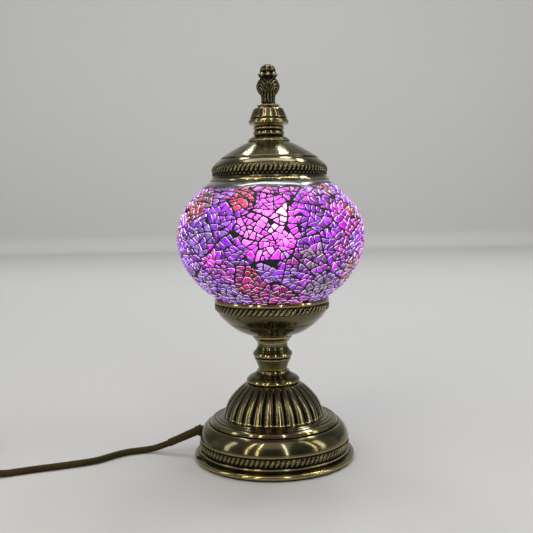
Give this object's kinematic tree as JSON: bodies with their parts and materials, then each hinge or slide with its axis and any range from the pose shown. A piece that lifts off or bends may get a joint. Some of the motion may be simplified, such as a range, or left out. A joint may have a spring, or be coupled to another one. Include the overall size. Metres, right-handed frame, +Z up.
{
  "type": "mosaic glass table lamp",
  "caption": "Mosaic table lamp: crackle glass globe held between spun brass cups on a fluted, stepped foot, with a cast finial and a mains lead with switch and plug.",
  "frame": {"origin": "middle of the base's underside, on the table", "axes": "+Z up along the lamp's axis, towards the finial; -Y towards the viewer; the mains lead leaves towards -X"},
  "size_m": [0.4003, 0.1204, 0.2525],
  "materials": {
    "antique_brass": "darkened antique brass, finely brushed, clear lacquered",
    "bright_brass": "plain brass",
    "zinc_steel": "zinc-plated steel",
    "cast_iron": "raw casting",
    "black_felt": "glued felt",
    "clear_glass": "blown glass",
    "mosaic": "crackle glass chips in purple, violet, pink and red, in black grout",
    "frosted_glass": "frosted, lit",
    "white_ceramic": "unglazed",
    "black_bakelite": "moulded, semi-gloss",
    "bronze_lead": "bronze-coloured mains lead",
    "wire_brown": "wire insulation",
    "wire_blue": "wire insulation"
  },
  "bodies": {
    "lamp": {"foot_shell": "antique_brass", "base_felt": "black_felt", "base_plate": "zinc_steel", "base_weight": "cast_iron", "bottom_washer": "zinc_steel", "bottom_nut": "zinc_steel", "fluted_dome": "antique_brass", "dome_collar": "antique_brass", "stem_knuckle": "antique_brass", "cup_seat_ring": "antique_brass", "threaded_tube": "zinc_steel", "lower_cup": "antique_brass", "cup_washer": "zinc_steel", "cup_nut": "zinc_steel", "lampholder_base": "black_bakelite", "lampholder_sleeve": "black_bakelite", "lampholder_insulator": "white_ceramic", "lampholder_screw_shell": "bright_brass", "lampholder_contact": "bright_brass", "mosaic_layer": "mosaic", "globe_glass": "clear_glass", "cap_strap": "zinc_steel", "cap_stud": "zinc_steel", "cap_stud_nut": "zinc_steel", "cap_dome": "antique_brass", "cap_neck": "antique_brass", "bell_collar": "antique_brass", "strain_relief": "bronze_lead", "cord_in_foot": "bronze_lead", "wire_live": "wire_brown", "wire_neutral": "wire_blue", "lead_to_switch": "bronze_lead", "switch_lower": "black_bakelite", "switch_upper": "black_bakelite", "switch_contact": "bright_brass", "switch_screw_1": "zinc_steel", "switch_screw_2": "zinc_steel", "lead_to_coil": "bronze_lead", "lead_coil": "bronze_lead", "lead_to_plug": "bronze_lead", "coil_tie": "black_bakelite", "plug_body": "black_bakelite", "plug_pin_front": "bright_brass", "plug_pin_rear": "bright_brass"},
    "finial_bush": {"finial_insert": "bright_brass"},
    "finial_top": {"finial": "antique_brass"},
    "bulb_base": {"bulb_cap": "bright_brass"},
    "bulb_glass": {"bulb_envelope": "frosted_glass"},
    "rocker": {"switch_rocker": "black_bakelite"}
  },
  "joints": [
    {"name": "finial_rise", "type": "slide", "parent": "lamp", "child": "finial_bush", "axis": [0, 0, 1], "range_m": [0, 0.007]},
    {"name": "finial_turn", "type": "hinge", "parent": "finial_bush", "child": "finial_top", "pos_m": [0, 0, 0.2261], "axis": [0, 0, 1], "range_deg": [0, 3600]},
    {"name": "bulb_rise", "type": "slide", "parent": "lamp", "child": "bulb_base", "axis": [0, 0, 1], "range_m": [0, 0.00352]},
    {"name": "bulb_turn", "type": "hinge", "parent": "bulb_base", "child": "bulb_glass", "pos_m": [0, 0, 0.15], "axis": [0, 0, 1], "range_deg": [0, 450]},
    {"name": "switch_rock", "type": "hinge", "parent": "lamp", "child": "rocker", "pos_m": [-0.2113, -0.036, 0.011], "axis": [0, 1, 0], "range_deg": [0, 16]}
  ],
  "couplings": [
    {"joint": "finial_rise", "follows": "finial_turn", "m_per_rad": 0.00011141},
    {"joint": "bulb_rise", "follows": "bulb_turn", "m_per_rad": 0.00044882}
  ]
}
